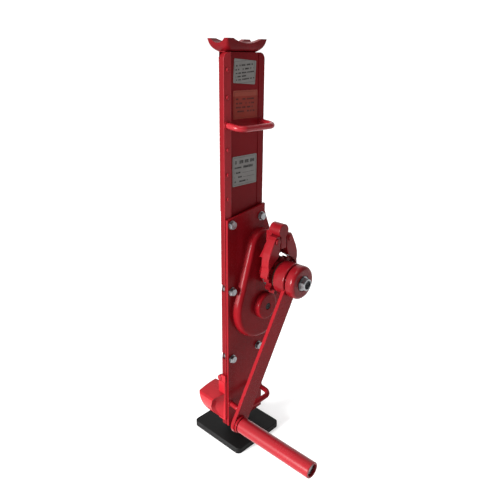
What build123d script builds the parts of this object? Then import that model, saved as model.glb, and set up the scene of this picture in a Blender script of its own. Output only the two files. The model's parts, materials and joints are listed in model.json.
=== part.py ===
from build123d import *
from math import acos, asin, atan2, cos, degrees, hypot, pi, radians, sin, tan
import os

# Toe jack: a rack-and-pinion steel jack whose housing climbs a fixed toothed rack.
# Millimetres, +Z up. The origin is the middle of the foot plate's underside. The front, with the
# gear cover and the crank, faces -Y, and the toe points to -X. Each function makes one piece.

# --- overall -----------------------------------------------------------------------------------
CROWN_TOP = 755.0          # tips of the crown, with the housing 25 mm above its lowest place
COLUMN_TOP = 735.0
COLUMN_BOTTOM = 39.0
HALF_WIDTH = 47.4          # half the width of the column
SHEET = 3.0                # thickness of the folded steel

# --- depth stations of the housing, front to back ------------------------------------------------
COVER_FRONT = -25.0        # front of the gear cover's flange
STRIP_FRONT = -20.0        # front of the flange strips, which the cover lies on
WEB_FRONT = -17.0          # front of the channel's web, where the labels are
WEB_BACK = WEB_FRONT + SHEET
SIDE_BACK = -8.0           # back edge of the channel's side walls
CASING_BACK = 17.5
CASING_BACK_HALF = 20.0    # half width of the rear casing's flat back
STRIP_WIDTH = 14.0
SLOT_HEIGHTS = (336.0, 195.0)
CORNER_RADIUS = 11.0       # top corners of the column

# --- foot and rack -------------------------------------------------------------------------------
FOOT_X = 120.0
FOOT_Y = 130.0
FOOT_THICK = 12.0
RACK_MODULE = 5.0
RACK_PITCH_X = 17.0        # pitch line of the rack
RACK_BACK_X = -15.0
RACK_HALF_DEPTH = 12.0
RACK_TOP = 700.0
RACK_TOOTH_HEAD = 0.5 * RACK_MODULE
RACK_TOOTH_FOOT = 1.4 * RACK_MODULE
FIRST_TOOTH = -15          # rack teeth, counted from the one level with the pinion
LAST_TOOTH = 25
SCREW_PLACES = ((-9.0, -5.5), (3.5, 5.5))
SCREW_R = 4.0
SCREW_HEAD_R = 7.2
WELD_LEG = 4.0
STOP_PIN_X = -2.0
STOP_PIN_Z = 664.0

# --- gears: long teeth on the small wheels and short ones on their mates --------------------------
PRESSURE = radians(25.0)
SHIFT = 0.5
PINION_TEETH = 6           # climbs the rack
GEAR_TEETH = 50
GEAR_MODULE = 2.5
CRANK_TEETH = 8
PINION_R = RACK_MODULE * PINION_TEETH / 2
GEAR_R = GEAR_MODULE * GEAR_TEETH / 2
CRANK_PINION_R = GEAR_MODULE * CRANK_TEETH / 2
SHAFT_X = RACK_PITCH_X + PINION_R
GEAR_Z = 285.5
CRANK_Z = GEAR_Z + GEAR_R + CRANK_PINION_R
GEAR_FRONT, GEAR_BACK = -35.0, -23.0
RACK_PLAY = 0.15           # each tooth of rack and pinion is this much thin
GEAR_PLAY = 0.15
GEAR_SHAFT_R = 10.0
CRANK_SHAFT_R = 8.0
BUSH_WALL = 3.0
RUNNING = 0.03             # radial clearance of a shaft in its bush

# --- pinion case, the box on the column's right side -----------------------------------------------
CASE_LEFT, CASE_RIGHT = 16.0, 60.0
CASE_BACK = 22.0
CASE_LOW, CASE_HIGH = GEAR_Z - 45.0, GEAR_Z + 45.0

# --- gear cover ----------------------------------------------------------------------------------
FLANGE_R = 80.0            # round part of the cover's flange, about the gear shaft
COVER_TOP_LEFT = 466.0
COVER_TOP_RIGHT = 480.0
COVER_FLARE_Z = 466.0
COVER_RETURN_Z = 185.0
BULGE_FRONT = -40.0
BULGE_R = 68.5
BULGE_TOP_Z = 402.0
BULGE_TOP_R = 34.0
BULGE_WALL = 3.0
GEAR_BOSS_R = 26.5
GEAR_BOSS_FRONT = -52.0
GEAR_BUSH_FRONT = -43.0
GREASE_HOLE_R = 7.0
CRANK_BOSS_R = 15.0
CRANK_BOSS_HALF = 8.0      # half width of the boss where the bracket is screwed to it
CRANK_BOSS_FRONT = -50.0
BOLT_R = 4.0
BOLT_HOLE_R = 4.3
BOLT_X = 37.5
BOLT_PLACES = ((-BOLT_X, 456.5), (BOLT_X, 457.5), (-BOLT_X, 330.5), (102.0, 330.5),
               (-BOLT_X, 190.0), (34.0, 190.0))

# --- ratchet, pawl and crank, front to back along the crank shaft ----------------------------------
RATCHET_TEETH = 12
RATCHET_R = 36.0
RATCHET_ROOT_R = 30.0
RATCHET_FRONT, RATCHET_BACK = -83.0, -71.0
LINING = 3.0
THRUST_FRONT, THRUST_BACK = RATCHET_BACK + LINING, -60.5
HUB_FRONT, HUB_BACK = -111.0, RATCHET_FRONT - LINING
HUB_R = 30.0
CAP_FRONT, CAP_BACK = -132.0, -114.5
CAP_R = 30.3
SHAFT_TIP = -134.5
PAWL_FRONT, PAWL_BACK = -85.0, -69.0
PAWL_PIVOT_X = 16.5        # each pawl's pivot, left and right of the crank shaft
PAWL_PIVOT_Z = 427.0
PAWL_PIN_R = 3.5
WING_FRONT, WING_BACK = PAWL_BACK + 0.4, -61.0
BRACKET_FRONT, BRACKET_BACK = -58.5, CRANK_BOSS_FRONT
BARREL_R = 12.8            # round top of the bracket's nose
BARREL_Z = 443.0
ARM_FRONT, ARM_BACK = -112.0, -105.5
ARM_WIDTH = 33.5
CRANK_RADIUS = 268.0
CRANK_SWING = radians(30.5)    # the arm hangs this far off straight down, towards the toe
GRIP_X = SHAFT_X - CRANK_RADIUS * sin(CRANK_SWING)
GRIP_Z = CRANK_Z - CRANK_RADIUS * cos(CRANK_SWING)
GRIP_R = 13.5
GRIP_WALL = 3.0
GRIP_BACK, GRIP_FRONT = -117.0, -268.5
SPINDLE_R = 8.0

# --- fittings --------------------------------------------------------------------------------------
RIVET_X = -40.5
RIVET_TOP = 709.0
RIVET_STEP = 41.4
RIVET_COUNT = 6
HANDLE_BAR_R = 5.0
HANDLE_HALF = 41.0
HANDLE_REACH = 30.0
HANDLE_DROP = 3.5
UPPER_HANDLE_Z = 624.0
LOWER_HANDLE_Z = 90.0
TOE_LOAD_Z = 110.0         # height of the toe's load face at its tip
TOE_NOSE_X = -77.5
TOE_BOLT_Y, TOE_BOLT_Z = -4.5, 144.5
CROWN_Y = -1.3             # the crown's middle, front to back


# --- helpers ---------------------------------------------------------------------------------------
def rod(x, z, radius, y_front, y_back):
    """A round bar along Y."""
    middle = (y_front + y_back) / 2
    return Pos(x, middle, z) * Rot(90, 0, 0) * Cylinder(radius, y_back - y_front)


def block(x0, x1, y0, y1, z0, z1):
    """A box from its two corners."""
    return Pos((x0 + x1) / 2, (y0 + y1) / 2, (z0 + z1) / 2) * Box(x1 - x0, y1 - y0, z1 - z0)


def front_plate(points, y_front, y_back):
    """A plate seen from the front, from its corners as (x, z)."""
    face = make_face(Polyline(*points, close=True))
    return extrude(Plane.XZ.offset(-y_back) * face, y_back - y_front)


def upright(points, z0, z1):
    """A column of constant section, from its corners as (x, y)."""
    face = make_face(Polyline(*points, close=True))
    return extrude(Pos(0, 0, z0) * face, z1 - z0)


def hexagon(x, z, across_flats, y_front, y_back):
    """A hexagonal prism along Y with two flats upright."""
    face = Rot(0, 0, 30) * RegularPolygon(across_flats / 2, 6, major_radius=False)
    return Pos(x, 0, z) * extrude(Plane.XZ.offset(-y_back) * face, y_back - y_front)


def save(node, shape):
    """Write one node as a STEP file."""
    pieces = shape if isinstance(shape, list) else [shape]
    solids = [solid for piece in pieces for solid in piece.solids()]
    whole = solids[0] if len(solids) == 1 else Compound(children=solids)
    export_step(whole, os.path.join("parts", node + ".step"))


def involute_angle(angle):
    return tan(angle) - angle


def gear_outline(teeth, module, tooth_thickness, tip_r, root_r, first_tooth_deg):
    """Corners of a spur gear's outline. Flanks are involutes, straight below the base circle."""
    pitch_r = module * teeth / 2
    base_r = pitch_r * cos(PRESSURE)
    start_r = max(base_r, root_r)
    flank = []
    for step in range(5):
        r = start_r + (tip_r - start_r) * step / 4
        half = tooth_thickness / (2 * pitch_r) + involute_angle(PRESSURE)
        flank.append((r, half - involute_angle(acos(base_r / r))))
    if root_r < base_r:
        flank.insert(0, (root_r, flank[0][1]))
    corners = []
    for tooth in range(teeth):
        centre = radians(first_tooth_deg) + 2 * pi * tooth / teeth
        corners += [(r * cos(centre - half), r * sin(centre - half)) for r, half in flank]
        corners += [(r * cos(centre + half), r * sin(centre + half)) for r, half in reversed(flank)]
    return corners


def gear(x, z, outline, y_front, y_back):
    """A spur gear with its axis along Y."""
    return front_plate([(x + px, z + pz) for px, pz in outline], y_front, y_back)


# --- foot and rack ---------------------------------------------------------------------------------
def foot_plate():
    """The flat foot that stands on the floor, countersunk from below for the rack's screws."""
    plate = Pos(0, 0, FOOT_THICK / 2) * Box(FOOT_X, FOOT_Y, FOOT_THICK)
    plate = fillet(plate.edges().filter_by(Axis.Z), 9)
    plate = fillet(plate.edges().group_by(Axis.Z)[-1], 1.5)
    for x, y in SCREW_PLACES:
        plate -= Pos(x, y, FOOT_THICK / 2) * Cylinder(SCREW_R + 0.3, FOOT_THICK)
        plate -= Pos(x, y, 2.2) * Cone(SCREW_HEAD_R + 0.4, SCREW_R + 0.2, 4.4)
    return plate


def rack_corners():
    """The rack seen from the front: a flat back and a row of trapezoid teeth to the right."""
    pitch = pi * RACK_MODULE
    space = RACK_MODULE * (pi / 2 + 2 * SHIFT * tan(PRESSURE))
    half = (pitch - space - RACK_PLAY) / 2
    tip_x = RACK_PITCH_X + RACK_TOOTH_HEAD
    root_x = RACK_PITCH_X - RACK_TOOTH_FOOT
    tip_half = half - RACK_TOOTH_HEAD * tan(PRESSURE)
    root_half = half + RACK_TOOTH_FOOT * tan(PRESSURE)
    corners = [(RACK_BACK_X, FOOT_THICK), (tip_x, FOOT_THICK)]
    for tooth in range(FIRST_TOOTH, LAST_TOOTH + 1):
        z = GEAR_Z + tooth * pitch
        if tooth > FIRST_TOOTH:
            corners += [(root_x, z - root_half), (tip_x, z - tip_half)]
        corners += [(tip_x, z + tip_half), (root_x, z + root_half)]
    corners += [(root_x, RACK_TOP - 4), (root_x - 4, RACK_TOP)]
    corners += [(RACK_BACK_X + 4, RACK_TOP), (RACK_BACK_X, RACK_TOP - 4)]
    return corners


def toothed_rack():
    rack = front_plate(rack_corners(), -RACK_HALF_DEPTH, RACK_HALF_DEPTH)
    for x, y in SCREW_PLACES:
        rack -= Pos(x, y, FOOT_THICK + 9) * Cylinder(SCREW_R + 0.05, 18)
    return rack - rod(STOP_PIN_X, STOP_PIN_Z, 4.05, -RACK_HALF_DEPTH - 1, RACK_HALF_DEPTH + 1)


def rack_weld():
    """The weld bead between the rack and the foot."""
    tip_x = RACK_PITCH_X + RACK_TOOTH_HEAD
    middle = (tip_x + RACK_BACK_X) / 2
    width = tip_x - RACK_BACK_X
    depth = 2 * RACK_HALF_DEPTH
    low = Pos(middle, 0, FOOT_THICK) * Rectangle(width + 2 * WELD_LEG, depth + 2 * WELD_LEG)
    bead = extrude(low, WELD_LEG - 0.5, taper=42)
    return bead - block(RACK_BACK_X, tip_x, -RACK_HALF_DEPTH, RACK_HALF_DEPTH, 0, 40)


def foot_screws():
    """Two countersunk screws up through the foot into the rack."""
    screws = []
    for x, y in SCREW_PLACES:
        screw = Pos(x, y, 2.2) * Cone(SCREW_HEAD_R, SCREW_R, 4.0)
        screw += Pos(x, y, 16.0) * Cylinder(SCREW_R, 25.0)
        screws.append(screw - Pos(x, y, 0.9) * extrude(RegularPolygon(2.6, 6), 2.4, both=True))
    return screws


def rack_stop_pin():
    """A cross pin near the top of the rack. It meets the upper guide if the jack is overrun."""
    return rod(STOP_PIN_X, STOP_PIN_Z, 4.0, -13.4, 13.4)


# --- column ----------------------------------------------------------------------------------------
def column_outline(x_left, x_right):
    """A tall panel of the column from the front, its outer top corners rounded."""
    centre = (x_left + x_right) / 2
    middle = (COLUMN_BOTTOM + COLUMN_TOP) / 2
    face = Pos(centre, middle) * Rectangle(x_right - x_left, COLUMN_TOP - COLUMN_BOTTOM)
    corners = [v for v in face.vertices() if v.Y > COLUMN_TOP - 1 and abs(v.X) > HALF_WIDTH - 1]
    return fillet(corners, CORNER_RADIUS)


def front_channel():
    """The folded channel: the web that carries the labels, and two shallow side walls."""
    panel = column_outline(-HALF_WIDTH, HALF_WIDTH)
    channel = extrude(Plane.XZ.offset(-SIDE_BACK) * panel, SIDE_BACK - WEB_FRONT)
    inner = HALF_WIDTH - SHEET
    channel -= block(-inner, inner, WEB_BACK, 0, 0, COLUMN_TOP - CORNER_RADIUS)
    channel -= block(-inner + 6, inner - 6, WEB_BACK, 0, 0, COLUMN_TOP + 1)
    channel -= rod(SHAFT_X, GEAR_Z, GEAR_SHAFT_R + 2, -30, 0)
    channel -= rod(SHAFT_X, CRANK_Z, CRANK_SHAFT_R + 1, -30, 0)
    for x, z in BOLT_PLACES:
        channel -= rod(x, z, BOLT_HOLE_R, -30, 0)
    for z in rivet_heights():
        channel -= rod(RIVET_X, z, 2.05, -30, 0)
    for z in SLOT_HEIGHTS:
        channel -= side_slot(z)
    channel -= block(inner - 1, HALF_WIDTH + 1, -13, 0, GEAR_Z - 24, GEAR_Z + 24)
    return channel


def side_slot(z):
    """An inspection slot from the left side wall round to the back."""
    low, high = z - 6.5, z + 6.5
    return block(-60, -12, WEB_BACK, 40, low, high) + block(-60, -45.2, WEB_FRONT, 0, low, high)


def flange_strip(side):
    """A strip on the front of the column, along its left (-1) or right (+1) edge.

    The left one leans back towards the edge. The right one is thin above the gear cover.
    """
    left, right = sorted((side * HALF_WIDTH, side * (HALF_WIDTH - STRIP_WIDTH)))
    strip = extrude(Plane.XZ.offset(-WEB_FRONT) * column_outline(left, right), WEB_FRONT - STRIP_FRONT)
    if side < 0:
        lean = [(left - 1, STRIP_FRONT - 1), (left - 1, STRIP_FRONT + 2.1),
                (right - 2, STRIP_FRONT), (right - 2, STRIP_FRONT - 2)]
        strip -= upright(lean, 0, COLUMN_TOP + 1)
    else:
        strip -= block(0, 60, -30, WEB_FRONT - 0.8, COVER_TOP_LEFT, COLUMN_TOP + 1)
    strip -= rod(SHAFT_X, GEAR_Z, GEAR_SHAFT_R + 5, -30, 0)
    strip -= rod(SHAFT_X, CRANK_Z, CRANK_SHAFT_R + 4, -30, 0)
    for x, z in BOLT_PLACES:
        strip -= rod(x, z, BOLT_HOLE_R, -30, 0)
    if side < 0:
        for z in rivet_heights():
            strip -= rod(RIVET_X, z, 2.05, -30, 0)
    return strip


def rivet_heights():
    """An even row, with none where the upper handle is welded."""
    heights = [RIVET_TOP - RIVET_STEP * index for index in range(RIVET_COUNT)]
    return [z for z in heights if abs(z - UPPER_HANDLE_Z) > 2 * HANDLE_BAR_R]


def flange_rivets():
    """Low domed rivets through the left strip and the web."""
    rivets = []
    for z in rivet_heights():
        head = Pos(RIVET_X, STRIP_FRONT - 0.7, z) * Rot(90, 0, 0) * Cone(3.4, 2.2, 1.4)
        tail = rod(RIVET_X, z, 3.0, WEB_BACK, WEB_BACK + 1.2)
        rivets.append(head + rod(RIVET_X, z, 2.0, STRIP_FRONT - 0.5, WEB_BACK + 1) + tail)
    return rivets


def casing_corners():
    """The rear casing's outer corners from above."""
    return [(-HALF_WIDTH, SIDE_BACK), (-CASING_BACK_HALF, CASING_BACK),
            (CASING_BACK_HALF, CASING_BACK), (HALF_WIDTH, SIDE_BACK)]


def rear_casing():
    """The rear of the column: a folded hat section that tapers behind the side walls."""
    length = hypot(HALF_WIDTH - CASING_BACK_HALF, CASING_BACK - SIDE_BACK)
    rise = (CASING_BACK - SIDE_BACK) / length
    run = (HALF_WIDTH - CASING_BACK_HALF) / length
    edge_half = HALF_WIDTH - SHEET / rise
    back_half = edge_half - (CASING_BACK - SHEET - SIDE_BACK) * run / rise
    inner = [(-edge_half, SIDE_BACK), (-back_half, CASING_BACK - SHEET),
             (back_half, CASING_BACK - SHEET), (edge_half, SIDE_BACK)]
    casing = upright(casing_corners(), COLUMN_BOTTOM, COLUMN_TOP) - upright(inner, 0, COLUMN_TOP + 1)
    for z in SLOT_HEIGHTS:
        casing -= side_slot(z)
    return casing - block(CASE_LEFT, 80, -30, 40, CASE_LOW, CASE_HIGH)


def top_plate():
    """Closes the column under the crown."""
    points = [(-36, WEB_BACK), (36, WEB_BACK), (36, -3.5), (18, CASING_BACK - SHEET),
              (-18, CASING_BACK - SHEET), (-36, -3.5)]
    return upright(points, COLUMN_TOP - 6, COLUMN_TOP)


# --- pinion case -------------------------------------------------------------------------------------
def pinion_case():
    """A welded box that covers the pinion and carries the rear end of its shaft."""
    body = block(CASE_LEFT, CASE_RIGHT, WEB_FRONT, CASE_BACK, CASE_LOW, CASE_HIGH)
    body = fillet(body.edges().filter_by(Axis.Z).group_by(Axis.Y)[-1].group_by(Axis.X)[-1], 8)
    cavity = block(CASE_LEFT + SHEET, CASE_RIGHT - SHEET, -30, CASE_BACK - SHEET,
                   CASE_LOW + SHEET, CASE_HIGH - SHEET)
    cavity = fillet(cavity.edges().filter_by(Axis.Z).group_by(Axis.Y)[-1].group_by(Axis.X)[-1], 5)
    case = body - cavity
    case += block(HALF_WIDTH, CASE_RIGHT - 1, WEB_FRONT, WEB_BACK, CASE_LOW, CASE_HIGH)
    slope = (CASING_BACK - SIDE_BACK) / (HALF_WIDTH - CASING_BACK_HALF)
    inside = [(-5, -40), (HALF_WIDTH, -40), (HALF_WIDTH, SIDE_BACK), (43.0, SIDE_BACK),
              (CASE_LEFT, SIDE_BACK + (43.0 - CASE_LEFT) * slope), (CASE_LEFT, CASING_BACK - SHEET),
              (-5, CASING_BACK - SHEET)]
    case -= upright(inside, CASE_LOW - 1, CASE_HIGH + 1)
    boss = rod(SHAFT_X, GEAR_Z, 15.0, 13.0, CASE_BACK - 1)
    return case + boss - rod(SHAFT_X, GEAR_Z, GEAR_SHAFT_R + BUSH_WALL, 12, CASE_BACK - 1.5)


# --- gear cover --------------------------------------------------------------------------------------
def tangent_point(px, pz, radius, side):
    """Where a line from (px, pz) touches a circle about the gear shaft."""
    dx, dz = px - SHAFT_X, pz - GEAR_Z
    spread = acos(radius / hypot(dx, dz))
    angle = atan2(dz, dx) + side * spread
    return SHAFT_X + radius * cos(angle), GEAR_Z + radius * sin(angle)


def cover_face():
    """The flat flange of the gear cover: the column's width, widened on the right by the gear."""
    upper = tangent_point(HALF_WIDTH, COVER_FLARE_Z, FLANGE_R, -1)
    lower = tangent_point(HALF_WIDTH, COVER_RETURN_Z, FLANGE_R, 1)
    left, right = -HALF_WIDTH, HALF_WIDTH
    first = Polyline((right, COLUMN_BOTTOM), (left, COLUMN_BOTTOM), (left, COVER_TOP_LEFT),
                     (right, COVER_TOP_RIGHT), (right, COVER_FLARE_Z), upper)
    arc = ThreePointArc(upper, (SHAFT_X + FLANGE_R, GEAR_Z), lower)
    last = Polyline(lower, (right, COVER_RETURN_Z), (right, COLUMN_BOTTOM))
    return make_face(first + arc + last)


def pear_face(big_r, small_r):
    """The outline of the bulge: a large round over the gear and a small one above the crank."""
    rise = BULGE_TOP_Z - GEAR_Z
    lean = asin((big_r - small_r) / rise)
    reach = cos(lean)
    lift = sin(lean)
    low_right = (SHAFT_X + big_r * reach, GEAR_Z + big_r * lift)
    low_left = (SHAFT_X - big_r * reach, GEAR_Z + big_r * lift)
    top_right = (SHAFT_X + small_r * reach, BULGE_TOP_Z + small_r * lift)
    top_left = (SHAFT_X - small_r * reach, BULGE_TOP_Z + small_r * lift)
    bottom = ThreePointArc(low_left, (SHAFT_X, GEAR_Z - big_r), low_right)
    top = ThreePointArc(top_right, (SHAFT_X, BULGE_TOP_Z + small_r), top_left)
    return make_face(bottom + Line(low_right, top_right) + top + Line(top_left, low_left))


def crank_pad(y_front, y_back):
    """A round boss about the crank shaft, with an ear above and below it for a screw."""
    pad = rod(SHAFT_X, CRANK_Z, CRANK_BOSS_R, y_front, y_back)
    left, right = SHAFT_X - CRANK_BOSS_HALF, SHAFT_X + CRANK_BOSS_HALF
    ears = block(left, right, y_front, y_back, CRANK_Z - 25, CRANK_Z + 32)
    return pad + fillet(ears.edges().filter_by(Axis.Y), 5)


def gear_cover():
    """The pressed cover with its pear-shaped bulge and two bearing bosses."""
    flange = extrude(Plane.XZ.offset(-STRIP_FRONT) * cover_face(), STRIP_FRONT - COVER_FRONT)
    depth = COVER_FRONT - BULGE_FRONT
    bulge = extrude(Plane.XZ.offset(-COVER_FRONT) * pear_face(BULGE_R, BULGE_TOP_R), depth, taper=10)
    bulge = fillet(bulge.faces().sort_by(Axis.Y)[0].edges(), 8)
    ring = Plane.XZ.offset(-BULGE_FRONT) * (Pos(SHAFT_X, GEAR_Z) * Circle(GEAR_BOSS_R))
    boss = extrude(ring, BULGE_FRONT - GEAR_BOSS_FRONT, taper=6)
    boss = fillet(boss.faces().sort_by(Axis.Y)[0].edges(), 3.5)
    cover = flange + bulge + boss + crank_pad(CRANK_BOSS_FRONT, BULGE_FRONT + 1)
    inside = pear_face(BULGE_R - BULGE_WALL, BULGE_TOP_R - BULGE_WALL)
    cavity = extrude(Plane.XZ.offset(-STRIP_FRONT) * inside, STRIP_FRONT - BULGE_FRONT - BULGE_WALL, taper=2)
    cover -= fillet(cavity.faces().sort_by(Axis.Y)[0].edges(), 4)
    cover -= rod(SHAFT_X, GEAR_Z, GEAR_SHAFT_R + BUSH_WALL, GEAR_BUSH_FRONT, -30)
    cover -= rod(SHAFT_X, GEAR_Z, GREASE_HOLE_R, -60, -30)
    cover -= rod(SHAFT_X, CRANK_Z, CRANK_SHAFT_R + BUSH_WALL, -60, -30)
    for x, z in BOLT_PLACES:
        cover -= rod(x, z, BOLT_HOLE_R, -30, 0)
    for x, z in bracket_screw_places():
        cover -= rod(x, z, 2.55, -52, -40.5)
    return cover


def gear_back_plate():
    """Closes the back of the gear cover where it overhangs the column."""
    plate = extrude(Plane.XZ.offset(-WEB_FRONT) * cover_face(), WEB_FRONT - STRIP_FRONT)
    plate -= block(-60, HALF_WIDTH, -30, 0, 0, 500)
    x, z = BOLT_PLACES[3]
    return plate - rod(x, z, BOLT_HOLE_R, -30, 0)


def cover_bolts():
    bolts = []
    for x, z in BOLT_PLACES:
        head = hexagon(x, z, 13, COVER_FRONT - 6.5, COVER_FRONT - 1)
        head &= Pos(x, COVER_FRONT - 3.5, z) * Rot(90, 0, 0) * Cone(12.0, 6.0, 6.0)
        bolts.append(head + rod(x, z, BOLT_R, COVER_FRONT - 2, WEB_BACK + 7))
    return bolts


def cover_washers():
    washers = []
    for x, z in BOLT_PLACES:
        washers.append(rod(x, z, 8.0, COVER_FRONT - 1, COVER_FRONT) - rod(x, z, BOLT_HOLE_R, -40, 0))
    return washers


def cover_nuts():
    nuts = []
    for x, z in BOLT_PLACES:
        back = WEB_BACK if x < HALF_WIDTH else WEB_FRONT
        nuts.append(hexagon(x, z, 12.8, back, back + 5.2) - rod(x, z, BOLT_R + 0.05, -30, 0))
    return nuts


def bearing_bushes():
    """Bronze bushes: front and rear of the gear shaft, front and rear of the crank shaft."""
    places = ((GEAR_Z, GEAR_SHAFT_R, GEAR_BUSH_FRONT, -36.5), (GEAR_Z, GEAR_SHAFT_R, 13.0, 20.5),
              (CRANK_Z, CRANK_SHAFT_R, -49.5, -37.0), (CRANK_Z, CRANK_SHAFT_R, -14.0, -8.4))
    return [rod(SHAFT_X, z, r + BUSH_WALL, front, back) - rod(SHAFT_X, z, r + RUNNING, front - 1, back + 1)
            for z, r, front, back in places]


def crank_bearing_block():
    """Carries the rear end of the crank shaft behind the web."""
    body = block(20.5, 43.5, WEB_BACK, -8.3, CRANK_Z - 14, CRANK_Z + 14)
    body = fillet(body.edges().filter_by(Axis.Y), 4)
    return body - rod(SHAFT_X, CRANK_Z, CRANK_SHAFT_R + BUSH_WALL, -20, 0)


def rack_guide(z_low, z_high):
    """A bronze block that embraces the back of the rack."""
    gap = 0.3
    guide = block(-18.3, 8, WEB_BACK, CASING_BACK - SHEET, z_low, z_high)
    inside = RACK_HALF_DEPTH + gap
    return guide - block(RACK_BACK_X - gap, 30, -inside, inside, z_low - 1, z_high + 1)


# --- gear shaft --------------------------------------------------------------------------------------
def rack_pinion_shaft():
    """The six-tooth pinion and its shaft, cut from one bar, with a keyway for the gear."""
    thickness = RACK_MODULE * (pi / 2 + 2 * SHIFT * tan(PRESSURE)) - RACK_PLAY
    outline = gear_outline(PINION_TEETH, RACK_MODULE, thickness, PINION_R + 1.15 * RACK_MODULE,
                           PINION_R - 0.75 * RACK_MODULE, 180 + 180 / PINION_TEETH)
    teeth = gear(SHAFT_X, GEAR_Z, outline, -11.5, 11.5)
    shaft = rod(SHAFT_X, GEAR_Z, GEAR_SHAFT_R, GEAR_BUSH_FRONT + 0.5, 19.5)
    shaft = chamfer(shaft.edges().filter_by(GeomType.CIRCLE), 1)
    return teeth + shaft - gear_key()


def gear_key():
    """Locks the gear to its shaft, half in each."""
    low = GEAR_Z + GEAR_SHAFT_R - 3.5
    return block(SHAFT_X - 3, SHAFT_X + 3, GEAR_FRONT, GEAR_BACK, low, low + 6)


def large_gear():
    """The fifty-tooth wheel, with a thin web and six lightening holes."""
    thickness = GEAR_MODULE * (pi / 2 - 2 * SHIFT * tan(PRESSURE)) - GEAR_PLAY
    outline = gear_outline(GEAR_TEETH, GEAR_MODULE, thickness, GEAR_R + 0.5 * GEAR_MODULE,
                           GEAR_R - 1.5 * GEAR_MODULE, 90)
    wheel = gear(SHAFT_X, GEAR_Z, outline, GEAR_FRONT, GEAR_BACK)
    recess = rod(SHAFT_X, GEAR_Z, 51, GEAR_FRONT - 1, GEAR_FRONT + 3)
    wheel -= recess - rod(SHAFT_X, GEAR_Z, 20, GEAR_FRONT - 2, GEAR_FRONT + 4)
    for index in range(6):
        angle = radians(60 * index + 30)
        wheel -= rod(SHAFT_X + 35 * cos(angle), GEAR_Z + 35 * sin(angle), 8, -60, 0)
    wheel -= rod(SHAFT_X, GEAR_Z, GEAR_SHAFT_R, -60, 0)
    return wheel - gear_key()


def gear_collars():
    """A collar each side of the gear keeps it in place on its shaft."""
    rings = []
    for front, back in ((GEAR_FRONT - 1.2, GEAR_FRONT), (GEAR_BACK, GEAR_BACK + 6.0)):
        rings.append(rod(SHAFT_X, GEAR_Z, 13, front, back) - rod(SHAFT_X, GEAR_Z, GEAR_SHAFT_R, -60, 0))
    return rings


# --- crank shaft and ratchet ---------------------------------------------------------------------------
def crank_shaft():
    """The eight-tooth pinion, the thrust collar and the threaded end, turned from one bar."""
    thickness = GEAR_MODULE * (pi / 2 + 2 * SHIFT * tan(PRESSURE)) - GEAR_PLAY
    outline = gear_outline(CRANK_TEETH, GEAR_MODULE, thickness, CRANK_PINION_R + 1.25 * GEAR_MODULE,
                           CRANK_PINION_R - 0.74 * GEAR_MODULE, -90 + 180 / CRANK_TEETH)
    shaft = gear(SHAFT_X, CRANK_Z, outline, GEAR_FRONT - 1, GEAR_BACK + 1)
    shaft += rod(SHAFT_X, CRANK_Z, CRANK_SHAFT_R, SHAFT_TIP, -9)
    shaft += rod(SHAFT_X, CRANK_Z, 14, THRUST_BACK, BRACKET_FRONT - 0.5)
    shaft += rod(SHAFT_X, CRANK_Z, 27, THRUST_FRONT, THRUST_BACK)
    return shaft


def ratchet_wheel():
    """Twelve square-topped teeth, the same both ways round, so either pawl can hold it."""
    corners = []
    for tooth in range(RATCHET_TEETH):
        centre = 90 + 360 / RATCHET_TEETH * tooth
        for r, offset in ((RATCHET_ROOT_R, -9.5), (RATCHET_R, -6.0), (RATCHET_R, 6.0), (RATCHET_ROOT_R, 9.5)):
            angle = radians(centre + offset)
            corners.append((r * cos(angle), r * sin(angle)))
    wheel = gear(SHAFT_X, CRANK_Z, corners, RATCHET_FRONT, RATCHET_BACK)
    return wheel - rod(SHAFT_X, CRANK_Z, CRANK_SHAFT_R, -100, 0)


def friction_discs():
    """Brake linings either side of the ratchet wheel."""
    discs = []
    for front, back in ((RATCHET_FRONT - LINING, RATCHET_FRONT), (RATCHET_BACK, THRUST_FRONT)):
        discs.append(rod(SHAFT_X, CRANK_Z, 27, front, back) - rod(SHAFT_X, CRANK_Z, CRANK_SHAFT_R, -100, 0))
    return discs


def crank_hub():
    """The boss of the crank, which the arm is welded to."""
    hub = rod(SHAFT_X, CRANK_Z, HUB_R, HUB_FRONT, HUB_BACK)
    hub = fillet(hub.edges().filter_by(GeomType.CIRCLE), 2.5)
    hub += rod(SHAFT_X, CRANK_Z, HUB_R - 5, CAP_BACK, HUB_FRONT + 1)
    hub -= rod(SHAFT_X, CRANK_Z, CRANK_SHAFT_R, -140, 0)
    return hub - arm_bar(0.0)


def hub_cap():
    """The round cap in front of the crank's boss, with a rounded rim and a dished face."""
    cap = rod(SHAFT_X, CRANK_Z, CAP_R, CAP_FRONT, CAP_BACK)
    cap = fillet(cap.edges().group_by(Axis.Y)[0], 7)
    cap = fillet(cap.edges().group_by(Axis.Y)[-1], 1.5)
    cap -= rod(SHAFT_X, CRANK_Z, 15, CAP_FRONT - 1, CAP_FRONT + 1.5)
    return cap - rod(SHAFT_X, CRANK_Z, CRANK_SHAFT_R, -140, 0)


def lock_washer():
    washer = rod(SHAFT_X, CRANK_Z, 13, CAP_FRONT - 0.5, CAP_FRONT + 1.5)
    return washer - rod(SHAFT_X, CRANK_Z, CRANK_SHAFT_R, -140, 0)


def lock_nut():
    """A flanged nut with a recess in its face, over the tip of the shaft."""
    nut = hexagon(SHAFT_X, CRANK_Z, 21, CAP_FRONT - 9.5, CAP_FRONT - 0.5)
    nut &= Pos(SHAFT_X, CAP_FRONT - 4.75, CRANK_Z) * Rot(90, 0, 0) * Cone(19.5, 10.0, 9.5)
    return nut - rod(SHAFT_X, CRANK_Z, CRANK_SHAFT_R, -150, 0)


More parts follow.
